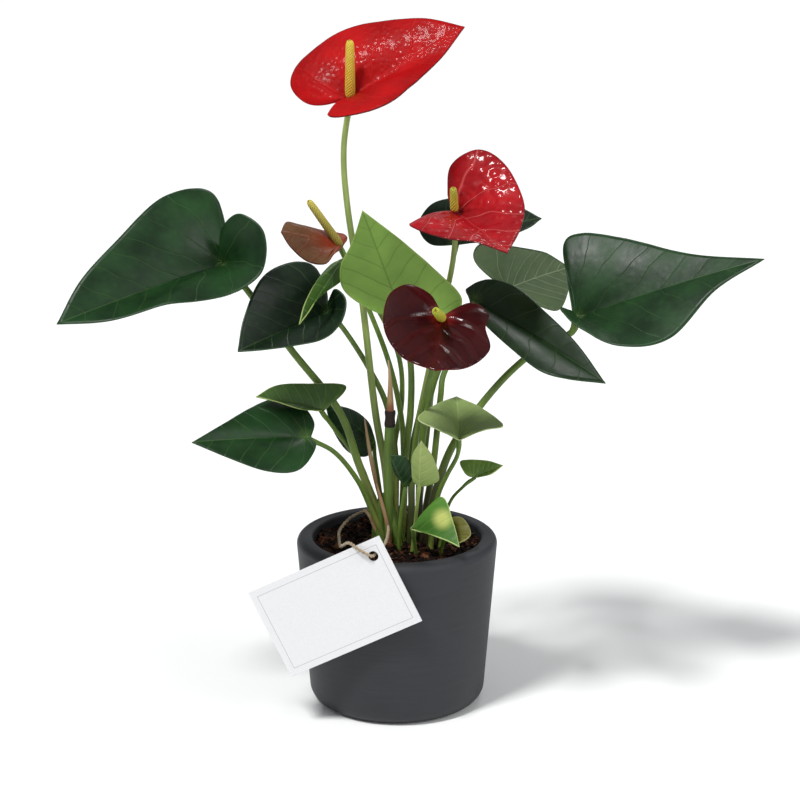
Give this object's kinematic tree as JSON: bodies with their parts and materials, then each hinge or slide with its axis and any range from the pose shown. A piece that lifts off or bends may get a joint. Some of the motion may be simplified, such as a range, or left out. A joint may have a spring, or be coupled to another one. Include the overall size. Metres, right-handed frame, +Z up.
{
  "type": "potted anthurium",
  "caption": "Potted anthurium with heart-shaped leaves and red blooms on long stalks, in a plain round charcoal pot with a blank card on a twine loop.",
  "frame": {"origin": "centre of the pot's flat foot, on the surface it stands on", "axes": "+Z up out of the pot, -Y towards the side where the card hangs, +X to the right seen from there"},
  "size_m": [0.3963, 0.1686, 0.4063],
  "materials": {
    "leaf": "waxy dark green with paler veins",
    "stalk": "smooth yellow-green stalk",
    "fresh_leaf": "soft light green, the underside of a leaf or a young one",
    "bronze_leaf": "young red-brown leaf",
    "red_spathe": "glossy red with a raised net of veins",
    "spadix": "yellow rod of close florets",
    "maroon_spathe": "glossy dark maroon with soft folds",
    "crown": "short fibrous stems with dry sheaths",
    "pot": "fine matt charcoal, like fired stoneware",
    "soil": "damp bark and coir",
    "card": "thick blank white card",
    "twine": "natural jute, two-ply"
  },
  "bodies": {
    "root": {"leaf_left_high_blade": "leaf", "leaf_left_high_stalk": "stalk", "leaf_left_mid_blade": "leaf", "leaf_left_mid_stalk": "stalk", "leaf_centre_back_blade": "fresh_leaf", "leaf_centre_back_stalk": "stalk", "leaf_left_narrow_blade": "leaf", "leaf_left_narrow_stalk": "stalk", "leaf_right_mid_blade": "leaf", "leaf_right_mid_stalk": "stalk", "leaf_right_high_blade": "leaf", "leaf_right_high_stalk": "stalk", "leaf_right_back_blade": "fresh_leaf", "leaf_right_back_stalk": "stalk", "leaf_right_dark_blade": "bronze_leaf", "leaf_right_dark_stalk": "stalk", "leaf_left_low_blade": "leaf", "leaf_left_low_stalk": "stalk", "leaf_left_folded_blade": "leaf", "leaf_left_folded_stalk": "stalk", "leaf_left_inner_blade": "leaf", "leaf_left_inner_stalk": "stalk", "leaf_right_small_blade": "fresh_leaf", "leaf_right_small_stalk": "stalk", "bloom_top_spathe": "red_spathe", "bloom_top_spadix": "spadix", "bloom_top_stalk": "stalk", "bloom_right_spathe": "red_spathe", "bloom_right_spadix": "spadix", "bloom_right_stalk": "stalk", "bloom_bronze_spathe": "bronze_leaf", "bloom_bronze_spadix": "spadix", "bloom_bronze_stalk": "stalk", "bloom_maroon_spathe": "maroon_spathe", "bloom_maroon_spadix": "spadix", "bloom_maroon_stalk": "stalk", "young_leaf_pale": "fresh_leaf", "young_leaf_dark": "fresh_leaf", "young_leaf_side": "fresh_leaf", "young_leaf_yellow_patch": "fresh_leaf", "young_leaf_olive": "fresh_leaf", "young_shoot": "stalk", "crown_green": "crown", "crown_brown": "crown", "crown_back": "crown", "pot": "pot", "soil": "soil", "tag_card": "card", "twine_loop": "twine"}
  },
  "joints": []
}
